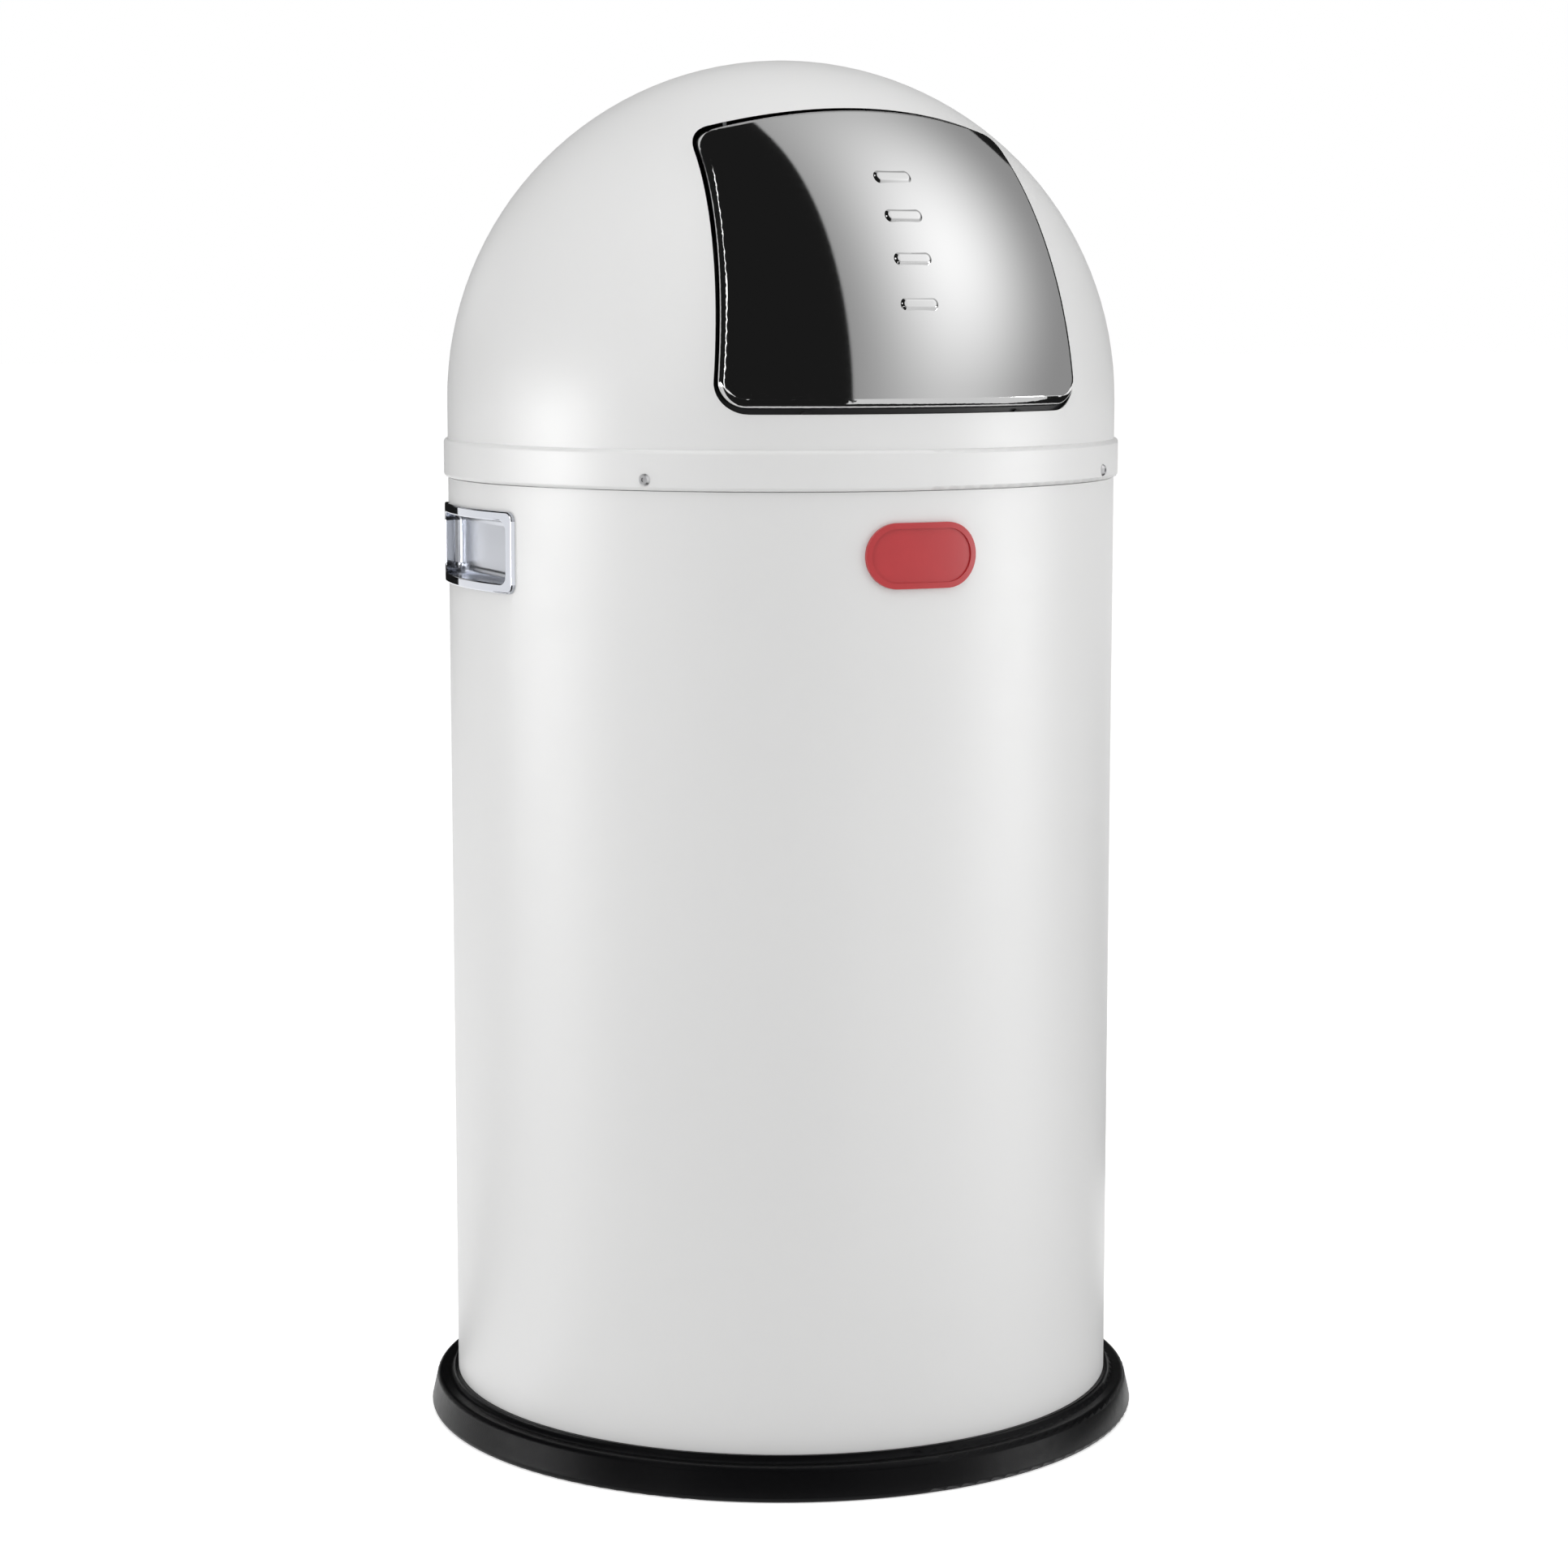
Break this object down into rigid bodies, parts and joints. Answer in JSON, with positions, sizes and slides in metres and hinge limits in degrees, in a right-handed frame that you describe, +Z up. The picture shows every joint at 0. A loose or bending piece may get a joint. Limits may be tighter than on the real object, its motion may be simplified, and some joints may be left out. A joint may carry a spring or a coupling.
{
  "type": "push-flap waste bin",
  "caption": "Round free-standing waste bin with a domed lift-off hood, a sprung push flap, recessed side grips, a floor ring and a lift-out liner bucket with a bail.",
  "frame": {"origin": "on the floor, on the axis of the round body", "axes": "+Z up along the body's axis, -Y towards the front where the flap faces, +X to the right-hand grip"},
  "size_m": [0.4, 0.4, 0.755],
  "materials": {
    "body_paint": "fine powder coat, satin",
    "ring_plastic": "satin moulded",
    "grip_chrome": "bright plated",
    "badge_red": "gloss enamel",
    "zinc_sheet": "zinc plated",
    "zinc_spangle": "hot-dip galvanised, spangled",
    "rivet_aluminium": "bright",
    "polished_steel": "mirror polished stainless",
    "bright_steel": "bright drawn",
    "spring_steel": "drawn wire",
    "black_plastic": "fine grained",
    "white_plastic": "smooth",
    "black_rubber": "matt"
  },
  "bodies": {
    "bin": {"body_shell": "body_paint", "bottom_plate": "zinc_sheet", "floor_ring": "ring_plastic", "grip_left": "grip_chrome", "grip_right": "grip_chrome", "grip_retainer_left": "zinc_sheet", "grip_retainer_right": "zinc_sheet", "badge_plate": "badge_red"},
    "liner": {"liner_wall": "zinc_spangle", "liner_floor": "zinc_spangle", "bail_lug_left": "zinc_sheet", "bail_lug_right": "zinc_sheet", "lug_rivets": "rivet_aluminium"},
    "bail": {"bail_wire": "bright_steel", "bail_sleeve": "black_plastic"},
    "hood": {"hood_shell": "body_paint", "plug_ring": "zinc_sheet", "collar_rivets": "rivet_aluminium", "hinge_axle": "bright_steel", "hinge_bracket_left": "zinc_sheet", "hinge_bracket_right": "zinc_sheet", "axle_clips": "spring_steel", "opening_stops": "black_rubber", "return_spring_left": "spring_steel", "return_spring_right": "spring_steel"},
    "flap": {"flap_panel": "polished_steel", "flap_backplate": "black_plastic", "flap_buffers": "black_rubber", "hinge_bush_left": "white_plastic", "hinge_bush_right": "white_plastic"}
  },
  "joints": [
    {"name": "liner_lift", "type": "slide", "parent": "bin", "child": "liner", "axis": [0, 0, 1], "range_m": [0, 0.53]},
    {"name": "bail_swing", "type": "hinge", "parent": "liner", "child": "bail", "pos_m": [0, 0, 0.484], "axis": [1, 0, 0], "range_deg": [0, 222]},
    {"name": "hood_lift", "type": "slide", "parent": "liner", "child": "hood", "axis": [0, 0, 1], "range_m": [0, 0.18]},
    {"name": "flap_push", "type": "hinge", "parent": "hood", "child": "flap", "pos_m": [0, -0.076, 0.702], "axis": [1, 0, 0], "range_deg": [0, 58], "stiffness_Nm_per_rad": 0.5, "springref_deg": -74.48, "deforming": ["return_spring_left", "return_spring_right"]}
  ]
}
